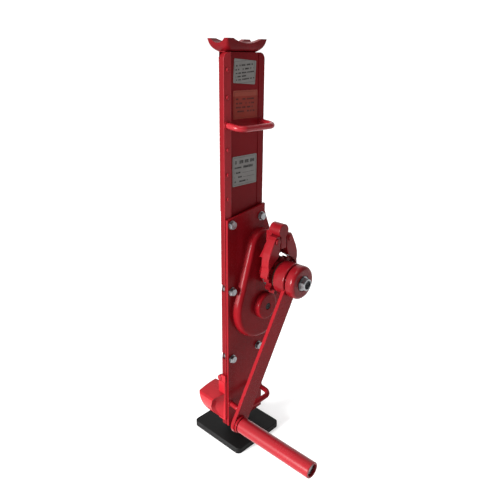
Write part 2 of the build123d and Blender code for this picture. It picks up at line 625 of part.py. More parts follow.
# --- crank arm and grip ----------------------------------------------------------------------------------
def arm_bar(clearance):
    """A flat bar with round ends from the crank shaft to the grip."""
    middle = ((SHAFT_X + GRIP_X) / 2, (CRANK_Z + GRIP_Z) / 2)
    tilt = degrees(atan2(CRANK_Z - GRIP_Z, SHAFT_X - GRIP_X))
    face = Pos(*middle) * Rot(0, 0, tilt) * SlotCenterToCenter(CRANK_RADIUS, ARM_WIDTH + 2 * clearance)
    return extrude(Plane.XZ.offset(-ARM_BACK) * face, ARM_BACK - ARM_FRONT)


def crank_arm():
    arm = arm_bar(0.0) - rod(SHAFT_X, CRANK_Z, CRANK_SHAFT_R, -140, 0)
    return arm - rod(GRIP_X, GRIP_Z, SPINDLE_R, -140, 0)


def grip_spindle():
    """The pin that the grip turns on, riveted over behind the arm."""
    spindle = rod(GRIP_X, GRIP_Z, SPINDLE_R, GRIP_FRONT + 7, ARM_BACK)
    return spindle + rod(GRIP_X, GRIP_Z, SPINDLE_R + 3, ARM_BACK, ARM_BACK + 2.5)


def grip_collar():
    """A washer between the arm and the grip."""
    collar = rod(GRIP_X, GRIP_Z, GRIP_R + 1.5, GRIP_BACK + 0.6, ARM_FRONT)
    return collar - rod(GRIP_X, GRIP_Z, SPINDLE_R, -300, 0)


def spindle_washer():
    """Keeps the grip on its spindle, just inside the open end of the tube."""
    return rod(GRIP_X, GRIP_Z, GRIP_R - GRIP_WALL - 0.6, GRIP_FRONT + 4, GRIP_FRONT + 7)


def grip_tube():
    """The tube that the hand holds. Two lands inside it run on the spindle."""
    tube = rod(GRIP_X, GRIP_Z, GRIP_R, GRIP_FRONT, GRIP_BACK)
    tube = fillet(tube.edges().filter_by(GeomType.CIRCLE), 1)
    tube -= rod(GRIP_X, GRIP_Z, GRIP_R - GRIP_WALL, GRIP_FRONT - 1, GRIP_FRONT + 7.5)
    tube -= rod(GRIP_X, GRIP_Z, SPINDLE_R + 0.08, GRIP_FRONT + 7, 0)
    return tube - rod(GRIP_X, GRIP_Z, GRIP_R - GRIP_WALL, GRIP_FRONT + 30, GRIP_BACK - 22)


# --- pawls ------------------------------------------------------------------------------------------------
def mirrored(half):
    """A closed outline from its right half, listed from the top down, about the shaft's axis."""
    right = [(SHAFT_X + x, z) for x, z in half]
    left = [(SHAFT_X - x, z) for x, z in reversed(half)]
    return right + left


def bracket_foot():
    """The foot on the crank's boss, with a stem up to the wings."""
    foot = crank_pad(BRACKET_FRONT, BRACKET_BACK)
    foot += block(SHAFT_X - 7.5, SHAFT_X + 7.5, BRACKET_FRONT, BRACKET_BACK, 382, 396)
    return foot + block(SHAFT_X - 7, SHAFT_X + 7, WING_BACK, BRACKET_BACK, 389, 440)


def pawl_bracket():
    """Carries both pawls in front of the cover, with a central nose between their heads."""
    half = [(4, 449), (12, 440), (17.5, 432), (20, 423), (29, 409.5), (36.5, 399.5), (27, 396), (10, 396)]
    wings = front_plate(mirrored(half), WING_FRONT, WING_BACK)
    nose = rod(SHAFT_X, BARREL_Z, BARREL_R, PAWL_FRONT, WING_BACK)
    nose += block(SHAFT_X - 7.2, SHAFT_X + 7.2, PAWL_FRONT, WING_BACK, 411, BARREL_Z)
    nose = fillet(nose.edges().group_by(Axis.Y)[0], 1.5)
    bracket = bracket_foot() + wings + nose
    bracket -= rod(SHAFT_X, CRANK_Z, CRANK_SHAFT_R + 1.5, -70, -40)
    for side in (-1, 1):
        bracket -= rod(SHAFT_X + side * PAWL_PIVOT_X, PAWL_PIVOT_Z, PAWL_PIN_R, -70, -40)
    for x, z in bracket_screw_places():
        bracket -= rod(x, z, 2.55, -70, -40) + screw_head(x, z, 5.2)
    return bracket


def bracket_screw_places():
    return [(SHAFT_X, CRANK_Z - 18), (SHAFT_X, CRANK_Z + 18)]


def screw_head(x, z, radius):
    """A countersunk head, flush with the front of the bracket."""
    middle = BRACKET_FRONT + radius / 4
    return Pos(x, middle, z) * Rot(90, 0, 0) * Cone(radius / 2, radius, radius / 2)


def bracket_screws():
    """Two countersunk screws through the bracket into the cover's boss."""
    return [rod(x, z, 2.5, BRACKET_FRONT + 1, -41) + screw_head(x, z, 5.0) for x, z in bracket_screw_places()]


def pawl(side):
    """A curved arm whose nose can drop between the ratchet's teeth. side is -1 left, +1 right."""
    half = [(12.8, 436.6), (20.5, 435.8), (24, 431), (27.5, 424.5), (35.5, 409), (39.5, 397.5),
            (40.3, 386.5), (39.2, 381.3), (39.8, 374.5), (43, 367), (41.8, 362.8), (37, 364.2),
            (36.6, 371), (35.6, 376), (32, 381.5), (26, 387.5), (19, 392.5), (14.5, 395),
            (12.5, 398), (9.2, 409), (9.2, 431.5)]
    corners = [(SHAFT_X + side * x, z) for x, z in half]
    body = front_plate(corners, PAWL_FRONT, PAWL_BACK)
    body = chamfer(body.faces().sort_by(Axis.Y)[0].edges(), 0.8)
    body -= rod(SHAFT_X + side * PAWL_PIVOT_X, PAWL_PIVOT_Z, PAWL_PIN_R + 0.05, -100, 0)
    return body


def pawl_pins():
    """Two headed pins in the bracket, one for each pawl."""
    pins = []
    for side in (-1, 1):
        x = SHAFT_X + side * PAWL_PIVOT_X
        head = rod(x, PAWL_PIVOT_Z, 5.5, PAWL_FRONT - 2.6, PAWL_FRONT - 0.4)
        head = fillet(head.edges().group_by(Axis.Y)[0], 1.2)
        pins.append(head + rod(x, PAWL_PIVOT_Z, PAWL_PIN_R, PAWL_FRONT - 1, WING_BACK))
    return pins


# --- crown, toe, handles and labels --------------------------------------------------------------------
def crown_head():
    """The four-horned head: a shallow bowl on a narrow neck, hollowed between the horns."""
    sections = ((0, 68, 18, 5), (1.6, 72, 28, 7), (5, 79, 38, 7), (11, 86, 44, 4.5), (20, 90, 47, 2))
    shapes = [Pos(0, CROWN_Y, COLUMN_TOP + rise) * RectangleRounded(x, y, r) for rise, x, y, r in sections]
    head = loft(shapes)
    head -= Pos(0, 0, CROWN_TOP + 71) * Rot(90, 0, 0) * Cylinder(78, 60)
    head -= Pos(0, CROWN_Y, CROWN_TOP + 14) * Rot(0, 90, 0) * Cylinder(21, 100)
    return head


def toe():
    """The forged claw: a bowl-shaped tongue with a flat top, on a root down the column's side."""
    side, inner = -HALF_WIDTH, -30.0
    sections = ((54, -51, -17, 16), (64, -61, -6, 21), (77, -69.5, -1, 26), (92, -75, -5, 29),
                (105, TOE_NOSE_X, -10, 30), (120, TOE_NOSE_X, -11, 30))
    shapes = []
    for z, x, y0, y1 in sections:
        corners = [(x, y0), (x, y1 - 4), (x + 4, y1), (inner, y1), (inner, STRIP_FRONT + 2),
                   (-49.5, STRIP_FRONT + 1), (x + 0.35 * (-49.5 - x), y0 + 0.2 * (STRIP_FRONT - y0))]
        shapes.append(Pos(0, 0, z) * make_face(Polyline(*corners, close=True)))
    tongue = loft(shapes)
    rise = ThreePointArc((-74.5, TOE_LOAD_Z), (-62, TOE_LOAD_Z + 3), (inner, TOE_LOAD_Z + 6))
    over = Polyline((inner, TOE_LOAD_Z + 6), (0, TOE_LOAD_Z + 7), (0, 140), (-90, 140),
                    (-90, TOE_LOAD_Z - 2.5), (TOE_NOSE_X, TOE_LOAD_Z - 2.5), (-74.5, TOE_LOAD_Z))
    tongue -= extrude(Plane.XZ.offset(-60) * make_face(rise + over), 120)
    tongue -= block(side, 0, -30, SIDE_BACK, 0, 200) + upright(casing_corners(), 0, 200)
    root = block(-52.2, inner, STRIP_FRONT, -1, 52, 139)
    root = fillet(root.edges().filter_by(Axis.Z).group_by(Axis.X)[0], 2.5)
    root += block(-51.5, side, STRIP_FRONT, SIDE_BACK - 0.5, 138, 154)
    root -= block(side, 0, -30, SIDE_BACK, 0, 200) + upright(casing_corners(), 0, 200)
    claw = tongue + root
    return claw - Pos(-48.5, TOE_BOLT_Y, TOE_BOLT_Z) * Rot(0, 90, 0) * Cylinder(5.8, 12)


def toe_bolt():
    """A round head on the side of the column, just above the toe."""
    head = Pos(-48.5, TOE_BOLT_Y, TOE_BOLT_Z) * Rot(0, 90, 0) * Cylinder(5.5, 8)
    head = fillet(head.edges().group_by(Axis.X)[0], 1.5)
    return head - block(-HALF_WIDTH, 0, -30, SIDE_BACK, 0, 200) - upright(casing_corners(), 0, 200)


def carry_handle(root_y, z):
    """A bent round bar, welded on by its two ends."""
    out_y = root_y - HANDLE_REACH
    path = FilletPolyline((-HANDLE_HALF, root_y, z), (-HANDLE_HALF, out_y, z - HANDLE_DROP),
                          (HANDLE_HALF, out_y, z - HANDLE_DROP), (HANDLE_HALF, root_y, z), radius=14)
    start = Plane(origin=path @ 0, z_dir=path % 0)
    bar = sweep(start * Circle(HANDLE_BAR_R), path=path)
    return bar - block(-80, 80, root_y, root_y + 20, z - 20, z + 20)


def label_plate(x0, x1, z0, z1, tilt=0):
    """A thin plate on the web, turned a little when it was stuck on crooked."""
    plate = Box(x1 - x0, 0.6, z1 - z0)
    plate = fillet(plate.edges().filter_by(Axis.Y), 2)
    return Pos((x0 + x1) / 2, WEB_FRONT - 0.3, (z0 + z1) / 2) * Rot(0, tilt, 0) * plate


def main():
    os.makedirs("parts", exist_ok=True)
    save("foot_plate", foot_plate())
    save("toothed_rack", toothed_rack())
    save("rack_weld", rack_weld())
    save("foot_screws", foot_screws())
    save("rack_stop_pin", rack_stop_pin())
    save("front_channel", front_channel())
    save("left_flange_strip", flange_strip(-1))
    save("right_flange_strip", flange_strip(1))
    save("flange_rivets", flange_rivets())
    save("rear_casing", rear_casing())
    save("top_plate", top_plate())
    save("pinion_case", pinion_case())
    save("gear_cover", gear_cover())
    save("gear_back_plate", gear_back_plate())
    save("cover_bolts", cover_bolts())
    save("cover_washers", cover_washers())
    save("cover_nuts", cover_nuts())
    save("bearing_bushes", bearing_bushes())
    save("crank_bearing_block", crank_bearing_block())
    save("lower_rack_guide", rack_guide(45, 85))
    save("upper_rack_guide", rack_guide(299, 327))
    save("rack_pinion_shaft", rack_pinion_shaft())
    save("gear_key", gear_key())
    save("large_gear", large_gear())
    save("gear_collars", gear_collars())
    save("crank_shaft", crank_shaft())
    save("ratchet_wheel", ratchet_wheel())
    save("friction_discs", friction_discs())
    save("crank_hub", crank_hub())
    save("hub_cap", hub_cap())
    save("lock_washer", lock_washer())
    save("lock_nut", lock_nut())
    save("crank_arm", crank_arm())
    save("grip_spindle", grip_spindle())
    save("grip_collar", grip_collar())
    save("spindle_washer", spindle_washer())
    save("grip_tube", grip_tube())
    save("pawl_bracket", pawl_bracket())
    save("bracket_screws", bracket_screws())
    save("pawl_pins", pawl_pins())
    save("left_pawl", pawl(-1))
    save("right_pawl", pawl(1))
    save("crown_head", crown_head())
    save("toe", toe())
    save("toe_bolt", toe_bolt())
    save("upper_handle", carry_handle(STRIP_FRONT, UPPER_HANDLE_Z))
    save("lower_handle", carry_handle(COVER_FRONT, LOWER_HANDLE_Z))
    save("rating_label", label_plate(-25, 26, 687, 724, 4))
    save("orange_label", label_plate(-26, 31, 632, 677))
    save("data_label", label_plate(-28, 31, 520, 571))


main()
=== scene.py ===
import json
import math

import bmesh
import bpy
from mathutils import Matrix, Vector


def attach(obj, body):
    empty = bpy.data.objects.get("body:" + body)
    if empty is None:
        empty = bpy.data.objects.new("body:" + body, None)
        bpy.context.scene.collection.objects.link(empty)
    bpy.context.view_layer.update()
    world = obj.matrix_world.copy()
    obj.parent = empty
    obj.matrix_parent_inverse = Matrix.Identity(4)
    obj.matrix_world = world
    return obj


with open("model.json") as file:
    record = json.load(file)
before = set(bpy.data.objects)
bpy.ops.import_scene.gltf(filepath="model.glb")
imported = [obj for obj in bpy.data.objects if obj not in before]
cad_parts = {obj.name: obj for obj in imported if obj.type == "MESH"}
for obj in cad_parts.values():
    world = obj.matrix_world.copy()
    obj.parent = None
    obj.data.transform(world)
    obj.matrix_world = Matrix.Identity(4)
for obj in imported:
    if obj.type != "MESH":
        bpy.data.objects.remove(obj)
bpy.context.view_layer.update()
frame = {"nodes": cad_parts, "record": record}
NODES = frame["nodes"]
scene = bpy.context.scene

# --- settings ------------------------------------------------------------------------------------
MM = 0.001                          # metres in a millimetre

FLOOR_RADIUS = 60                   # m, reaches the horizon
FLOOR_GLOW = 0.32                   # lifts the paper floor to white
ROOM_DIM, ROOM_BRIGHT = 0.30, 1.15  # the room's light in front of and behind the object
ROOM_TOWARD = (0.30, 0.95, 0.0)     # the room's bright side
KEY_TOWARD, KEY_SPREAD, KEY = (0.96, -0.17, -0.18), 18, 9.4
TOP_PLACE, TOP_AIM, TOP = (-0.3, -0.4, 2.0), (0, 0, 0.4), 9.0

CAMERA_PLACE = (-0.6324, -0.6270, 0.7306)
CAMERA_AZIMUTH, CAMERA_PITCH, CAMERA_ROLL = -46.69, 20.58, 0.56
LENS, SENSOR = 37.33, 36.0

BEAD_SIDES = 10                     # corners round a weld bead
PLUG_CENTRE = (32, 285.5)           # x, z of the gear boss in mm


# --- node helpers ------------------------------------------------------------------------------
class Graph:
    """A short way to write a material's node tree."""

    def __init__(self, name):
        self.material = bpy.data.materials.new(name)
        self.material.use_nodes = True
        self.tree = self.material.node_tree
        self.tree.nodes.clear()
        self.output = self.tree.nodes.new("ShaderNodeOutputMaterial")
        self.shader = self.tree.nodes.new("ShaderNodeBsdfPrincipled")
        self.tree.links.new(self.shader.outputs[0], self.output.inputs["Surface"])
        self.place = self.tree.nodes.new("ShaderNodeTexCoord").outputs["Object"]

    def node(self, kind, values=None, **settings):
        made = self.tree.nodes.new(kind)
        for key, value in settings.items():
            setattr(made, key, value)
        for key, value in (values or {}).items():
            self.put(made.inputs[key], value)
        return made

    def put(self, socket, value):
        if isinstance(value, bpy.types.NodeSocket):
            self.tree.links.new(value, socket)
        elif isinstance(value, bpy.types.Node):
            self.tree.links.new(value.outputs[0], socket)
        else:
            socket.default_value = value

    def noise(self, scale, detail=4.0, rough=0.55, place=None):
        made = self.node("ShaderNodeTexNoise", {"Scale": scale, "Detail": detail, "Roughness": rough,
                                                "Vector": place or self.place})
        return made.outputs["Fac"]

    def stretch(self, x, y, z):
        return self.node("ShaderNodeMapping", {"Vector": self.place, "Scale": (x, y, z)}).outputs[0]

    def math(self, operation, a, b=0.0, clamp=False):
        made = self.node("ShaderNodeMath", {0: a, 1: b}, operation=operation, use_clamp=clamp)
        return made.outputs[0]

    def span(self, value, low, high, to_low=0.0, to_high=1.0):
        made = self.node("ShaderNodeMapRange", {"Value": value, "From Min": low, "From Max": high,
                                                "To Min": to_low, "To Max": to_high})
        return made.outputs[0]

    def mix(self, factor, a, b):
        made = self.tree.nodes.new("ShaderNodeMix")
        made.data_type = "RGBA"
        self.put(made.inputs[0], factor)
        self.put(made.inputs[6], a)
        self.put(made.inputs[7], b)
        return made.outputs[2]

    def sharp_edges(self, radius):
        """1 along sharp convex edges, 0 on flats."""
        bevel = self.node("ShaderNodeBevel", {"Radius": radius}, samples=6).outputs[0]
        normal = self.node("ShaderNodeNewGeometry").outputs["Normal"]
        dot = self.node("ShaderNodeVectorMath", {0: bevel, 1: normal}, operation="DOT_PRODUCT")
        return self.span(dot.outputs["Value"], 0.995, 0.80)

    def rounded(self, radius):
        """The surface normal with its sharp edges rounded off, as paint lies on them."""
        return self.node("ShaderNodeBevel", {"Radius": radius}, samples=4).outputs[0]

    def axes(self):
        made = self.node("ShaderNodeSeparateXYZ", {0: self.place})
        return made.outputs[0], made.outputs[1], made.outputs[2]

    def inside(self, value, low, high):
        """1 where value lies between low and high."""
        above = self.math("GREATER_THAN", value, low)
        return self.math("MULTIPLY", above, self.math("LESS_THAN", value, high))

    def bump(self, height, strength, distance, below=None):
        values = {"Height": height, "Strength": strength, "Distance": distance}
        if below is not None:
            values["Normal"] = below
        return self.node("ShaderNodeBump", values).outputs[0]

    def finish(self, **inputs):
        for key, value in inputs.items():
            self.put(self.shader.inputs[key.replace("_", " ")], value)
        return self.material


def rgb(r, g, b):
    return (r, g, b, 1.0)


def paint(name, base, deep, bright, rough=0.3, peel=1.0, wear=0.0, spec=0.22):
    """Sprayed enamel: uneven depth, soft runs, fine dust, orange peel, rubbed edges with dark chips, and a
    painted highlight that lightens sharp edges.
    """
    g = Graph(name)
    broad = g.noise(11.0, 3.0)
    runs = g.noise(38.0, 3.0, place=g.stretch(1.0, 1.0, 0.12))
    dust = g.noise(420.0, 4.0, 0.7)
    colour = g.mix(g.span(broad, 0.36, 0.66), rgb(*base), rgb(*deep))
    colour = g.mix(g.span(runs, 0.55, 0.75, 0.0, 0.4), colour, rgb(*bright))
    colour = g.mix(g.span(dust, 0.62, 0.74, 0.0, 0.10), colour, rgb(*bright))
    edges = g.sharp_edges(0.0010)
    # painted highlight: sharp convex edges lightened towards the bright tone
    colour = g.mix(g.math("MULTIPLY", edges, 0.35), colour, rgb(*bright))
    chips = g.math("MULTIPLY", edges, g.span(g.noise(210.0, 5.0, 0.7), 0.62, 0.66))
    chips = g.math("MULTIPLY", chips, wear, clamp=True)
    colour = g.mix(chips, colour, rgb(0.05, 0.04, 0.038))
    roughness = g.span(broad, 0.3, 0.7, rough, rough + 0.10)
    roughness = g.math("ADD", roughness, g.span(dust, 0.5, 0.75, 0.0, 0.10))
    roughness = g.math("ADD", roughness, g.math("MULTIPLY", chips, 0.25))
    normal = g.bump(g.noise(240.0, 1.0), 0.020 * peel, 0.0003, g.rounded(0.0009))
    normal = g.bump(g.noise(30.0, 2.0), 0.060 * peel, 0.0012, normal)
    normal = g.bump(g.math("SUBTRACT", 1.0, chips), 0.25, 0.0002, normal)
    return g.finish(Base_Color=colour, Roughness=roughness, Normal=normal, Specular_IOR_Level=spec, IOR=1.5)


def steel(name, dark, light, rough=0.3, brush=(1, 1, 1), metallic=1.0, grime=0.25):
    """Machined or plated steel with fine lines along one direction, stains and small scratches."""
    g = Graph(name)
    lines = g.noise(120.0, 4.0, 0.6, place=g.stretch(*brush))
    broad = g.noise(30.0, 3.0)
    colour = g.mix(g.span(lines, 0.3, 0.7), rgb(*dark), rgb(*light))
    stain = g.span(broad, 0.55, 0.75, 0.0, grime)
    colour = g.mix(stain, colour, rgb(dark[0] * 0.35, dark[1] * 0.33, dark[2] * 0.30))
    edges = g.sharp_edges(0.0006)
    colour = g.mix(g.math("MULTIPLY", edges, 0.5), colour, rgb(*[min(1.0, c * 1.3) for c in light]))
    roughness = g.span(lines, 0.3, 0.7, rough * 0.8, rough * 1.3)
    roughness = g.math("ADD", roughness, g.math("MULTIPLY", stain, 0.5))
    normal = g.bump(lines, 0.12, 0.0003)
    normal = g.bump(g.noise(400.0, 2.0), 0.06, 0.0002, normal)
    return g.finish(Base_Color=colour, Roughness=roughness, Metallic=metallic, Normal=normal)


# --- materials -----------------------------------------------------------------------------------
RED = (0.160, 0.0040, 0.0072)
RED_DEEP = (0.120, 0.0028, 0.0050)
RED_BRIGHT = (0.235, 0.0095, 0.0165)

# rows of strokes on the three plates: level, height, stroke length, left end, right end
RATING_ROWS = [(0.78, 0.07, 0.045, 0.12, 0.88), (0.62, 0.07, 0.05, 0.08, 0.92),
               (0.47, 0.06, 0.04, 0.08, 0.92), (0.33, 0.06, 0.05, 0.08, 0.80),
               (0.20, 0.06, 0.045, 0.08, 0.92)]
ORANGE_ROWS = [(0.70, 0.06, 0.05, 0.10, 0.90), (0.55, 0.06, 0.045, 0.10, 0.90),
               (0.41, 0.06, 0.05, 0.10, 0.84), (0.27, 0.06, 0.04, 0.10, 0.90)]
DATA_ROWS = [(0.80, 0.11, 0.055, 0.10, 0.90), (0.62, 0.055, 0.045, 0.08, 0.36),
             (0.62, 0.08, 0.06, 0.44, 0.84), (0.45, 0.055, 0.045, 0.08, 0.32),
             (0.43, 0.012, 0.99, 0.40, 0.90), (0.30, 0.055, 0.045, 0.08, 0.38),
             (0.28, 0.012, 0.99, 0.44, 0.90), (0.15, 0.055, 0.045, 0.08, 0.62)]


def printed_label(name, ground, ink, centre, size, rows, tilt=0.0, seed=0.0, heading=None):
    """A printed foil plate: a border and rows of short strokes, with no letters.

    centre and size are in the plate's own plane (x, z) in metres. rows is a list of
    (height above the plate's foot, stroke height, stroke length, left, right), as parts of its size.
    """
    g = Graph(name)
    x, _, z = g.axes()
    dx, dz = g.math("SUBTRACT", x, centre[0]), g.math("SUBTRACT", z, centre[1])
    turn = math.radians(tilt)
    cos, sin = math.cos(turn), math.sin(turn)
    across = g.math("SUBTRACT", g.math("MULTIPLY", dx, cos), g.math("MULTIPLY", dz, -sin))
    up = g.math("ADD", g.math("MULTIPLY", dz, cos), g.math("MULTIPLY", dx, -sin))
    u = g.math("ADD", g.math("DIVIDE", across, size[0]), 0.5)
    v = g.math("ADD", g.math("DIVIDE", up, size[1]), 0.5)
    marks = None
    for index, (level, tall, stroke, left, right) in enumerate(rows):
        cell = g.math("FLOOR", g.math("DIVIDE", u, stroke))
        spot = g.node("ShaderNodeCombineXYZ", {0: cell, 1: float(index) + seed, 2: 0.5})
        chance = g.node("ShaderNodeTexWhiteNoise", {"Vector": spot}, noise_dimensions="3D")
        gap = 0.24 if stroke < 0.2 else -1.0
        mark = g.math("MULTIPLY", g.inside(v, level - tall / 2, level + tall / 2), g.inside(u, left, right))
        mark = g.math("MULTIPLY", mark, g.math("GREATER_THAN", chance.outputs["Value"], gap))
        marks = mark if marks is None else g.math("MAXIMUM", marks, mark)
    rim = g.math("MAXIMUM", g.math("ABSOLUTE", g.math("SUBTRACT", u, 0.5)),
                 g.math("ABSOLUTE", g.math("SUBTRACT", v, 0.5)))
    border = g.math("MULTIPLY", g.inside(rim, 0.445, 0.458), 0.7)
    marks = g.math("MAXIMUM", marks, border)
    rubbed = g.span(g.noise(300.0, 4.0, 0.7), 0.35, 0.55, 0.55, 1.0)
    marks = g.math("MULTIPLY", marks, rubbed)
    stain = g.span(g.noise(60.0, 4.0), 0.4, 0.75, 0.0, 0.45)
    colour = g.mix(stain, rgb(*ground), rgb(*[c * 0.7 for c in ground]))
    if heading:
        colour = g.mix(g.math("GREATER_THAN", v, 0.80), colour, rgb(*heading))
    colour = g.mix(marks, colour, rgb(*ink))
    roughness = g.span(g.noise(90.0, 3.0), 0.3, 0.7, 0.34, 0.5)
    normal = g.bump(g.noise(120.0, 2.0), 0.08, 0.0004)
    return g.finish(Base_Color=colour, Roughness=roughness, Normal=normal, Specular_IOR_Level=0.12)


def make_materials():
    made = {}
    made["red_paint"] = paint("red_enamel", RED, RED_DEEP, RED_BRIGHT, rough=0.28, wear=0.4, spec=0.09)
    # darker copy of the red enamel for the front channel and right flange strip: painted shade on faces
    # turned from the light
    made["red_painted_shade_web"] = paint("red_enamel_painted_shade_web", (0.118, 0.0028, 0.0050), (0.098, 0.0020, 0.0038),
                            (0.170, 0.0060, 0.0100), rough=0.32, wear=0.3, spec=0.055)
    # lighter copy of the red enamel for the left flange strip, its rivets and the toe bolt: painted light on
    # the side facing the key
    made["red_painted_light_side"] = paint("red_enamel_painted_light_side", (0.21, 0.0060, 0.0105), (0.185, 0.0045, 0.0080), RED_BRIGHT,
                             rough=0.30, wear=0.4, spec=0.16)
    made["red_cover"] = paint("red_enamel_cover", (0.168, 0.0040, 0.0070), RED_DEEP, RED_BRIGHT, rough=0.20,
                              wear=0.35, spec=0.055)
    made["red_cast"] = paint("red_enamel_cast", (0.180, 0.0044, 0.0078), RED_DEEP, RED_BRIGHT, rough=0.24,
                             peel=1.8, wear=0.5, spec=0.12)
    # darker copy of the red enamel for the crown head and ratchet wheel: painted shade
    made["red_painted_shade_crown"] = paint("red_enamel_painted_shade_crown", (0.110, 0.0026, 0.0048), (0.088, 0.0019, 0.0036),
                              (0.165, 0.0055, 0.0095), rough=0.26, peel=1.8, wear=0.4, spec=0.06)
    # lighter copy of the red enamel for the toe: painted light where the key and top light fall on it
    made["red_painted_light_toe"] = paint("red_enamel_painted_light_toe", (0.27, 0.0075, 0.0125), (0.23, 0.0055, 0.0095),
                            (0.32, 0.0130, 0.0190), rough=0.24, peel=1.8, wear=0.4, spec=0.16)
    made["red_crank"] = paint("red_enamel_crank", (0.180, 0.0044, 0.0078), RED, RED_BRIGHT, rough=0.20,
                              wear=0.45, spec=0.065)
    # darker copy of the red enamel for the crank hub and hub cap: painted shade on their front faces
    made["red_painted_shade_hub"] = paint("red_enamel_painted_shade_hub", (0.122, 0.0030, 0.0054), RED_DEEP, RED_BRIGHT, rough=0.18,
                            wear=0.45, spec=0.16)
    # lighter copy of the red enamel for the grip tube and upper handle: painted highlight
    made["red_painted_highlight_grip"] = paint("red_enamel_painted_highlight_grip", (0.218, 0.0070, 0.0120), (0.190, 0.0054, 0.0093),
                             (0.30, 0.0130, 0.0200), rough=0.22, wear=0.45, spec=0.24)
    made["black_paint"] = paint("black_enamel", (0.0060, 0.0058, 0.0058), (0.0035, 0.0034, 0.0034),
                                (0.012, 0.0115, 0.0115), rough=0.5, peel=2.0, wear=0.3, spec=0.12)
    made["weld_steel"] = paint("weld_paint", (0.006, 0.006, 0.006), (0.003, 0.003, 0.003),
                               (0.014, 0.014, 0.014), rough=0.5, peel=4.0, wear=0.2, spec=0.12)
    made["rack_steel"] = steel("rack_steel", (0.03, 0.03, 0.031), (0.09, 0.09, 0.092), 0.42, (1, 1, 0.08),
                               grime=0.6)
    made["zinc"] = steel("zinc_plate", (0.17, 0.175, 0.185), (0.34, 0.345, 0.355), 0.3, (1, 0.2, 1))
    made["pin_steel"] = steel("pin_steel", (0.2, 0.2, 0.21), (0.4, 0.4, 0.41), 0.3, (1, 0.15, 1))
    made["gear_steel"] = steel("gear_steel", (0.16, 0.16, 0.165), (0.36, 0.36, 0.37), 0.32, (1, 0.15, 1),
                               grime=0.5)
    made["bronze"] = steel("bearing_bronze", (0.32, 0.18, 0.07), (0.60, 0.38, 0.16), 0.32, (1, 0.2, 1))
    made["cast"] = steel("cast_iron", (0.05, 0.05, 0.052), (0.12, 0.12, 0.125), 0.6, metallic=0.9)
    made["brake_lining"] = paint("brake_lining", (0.055, 0.042, 0.03), (0.03, 0.024, 0.018),
                                 (0.12, 0.09, 0.06), rough=0.75, peel=3.0)
    # the dark plug in the gear boss: painted shade for the hole there
    made["hole_shade_dark"] = paint("plug_hole_shade", (0.012, 0.010, 0.010), (0.008, 0.007, 0.007), (0.03, 0.025, 0.025),
                           rough=0.55, peel=1.5)
    made["rating_label"] = printed_label("foil_rating", (0.145, 0.137, 0.130), (0.018, 0.015, 0.015),
                                         (0.0005, 0.7055), (0.051, 0.037), RATING_ROWS, 4.0, 3.0)
    made["orange_label"] = printed_label("foil_orange", (0.165, 0.016, 0.0085), (0.05, 0.006, 0.005),
                                         (0.0025, 0.6545), (0.057, 0.045), ORANGE_ROWS, 0.0, 11.0,
                                         (0.185, 0.032, 0.020))
    made["data_label"] = printed_label("foil_data", (0.150, 0.142, 0.136), (0.016, 0.014, 0.014),
                                       (0.0015, 0.5455), (0.059, 0.051), DATA_ROWS, 0.0, 23.0)
    # the frame's own slot names for the plates
    made["label_foil"] = made["data_label"]
    made["label_orange"] = made["orange_label"]
    return made


MATERIALS = make_materials()
SLOTS = {s["node"]: s["material_slot"] for s in frame["record"]["subparts"]}
for name, node in NODES.items():
    node.data.materials.clear()
    node.data.materials.append(MATERIALS[SLOTS[name]])
DRESS = {
    # painted shade: the darker red copy on the front channel and right flange strip
    "red_painted_shade_web": ("front_channel", "right_flange_strip"),
    # painted light: the lighter red copy on the left flange strip, rivets and toe bolt
    "red_painted_light_side": ("toe_bolt", "left_flange_strip", "flange_rivets"),
    # painted shade: the darker red copy on the crown head and ratchet wheel
    "red_painted_shade_crown": ("crown_head", "ratchet_wheel"),
    "red_cast": ("pawl_bracket", "left_pawl", "right_pawl", "pawl_pins"),
    "red_cover": ("gear_cover", "gear_back_plate"),
    # painted light: the lighter red copy on the toe
    "red_painted_light_toe": ("toe",),
    "red_crank": ("crank_arm", "lower_handle", "grip_collar"),
    # painted shade: the darker red copy on the crank hub and hub cap
    "red_painted_shade_hub": ("crank_hub", "hub_cap"),
    # painted highlight: the lighter red copy on the grip tube and upper handle
    "red_painted_highlight_grip": ("grip_tube", "upper_handle"),
    "rating_label": ("rating_label",),
    "orange_label": ("orange_label",),
}
for look, names in DRESS.items():
    for name in names:
        NODES[name].data.materials[0] = MATERIALS[look]


# --- added pieces --------------------------------------------------------------------------------
def wobble(index):
    """A small steady unevenness, the same on every run."""
    return math.sin(index * 12.9898) * 0.5 + math.sin(index * 3.7 + 1.3) * 0.5


def piece(name, mesh, body, look):
    data = bpy.data.meshes.new(name)
    bmesh.ops.recalc_face_normals(mesh, faces=mesh.faces)
    mesh.to_mesh(data)
    mesh.free()
    for face in data.polygons:
        face.use_smooth = True
    made = bpy.data.objects.new(name, data)
    scene.collection.objects.link(made)
    data.materials.append(MATERIALS[look])
    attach(made, body)
    return made


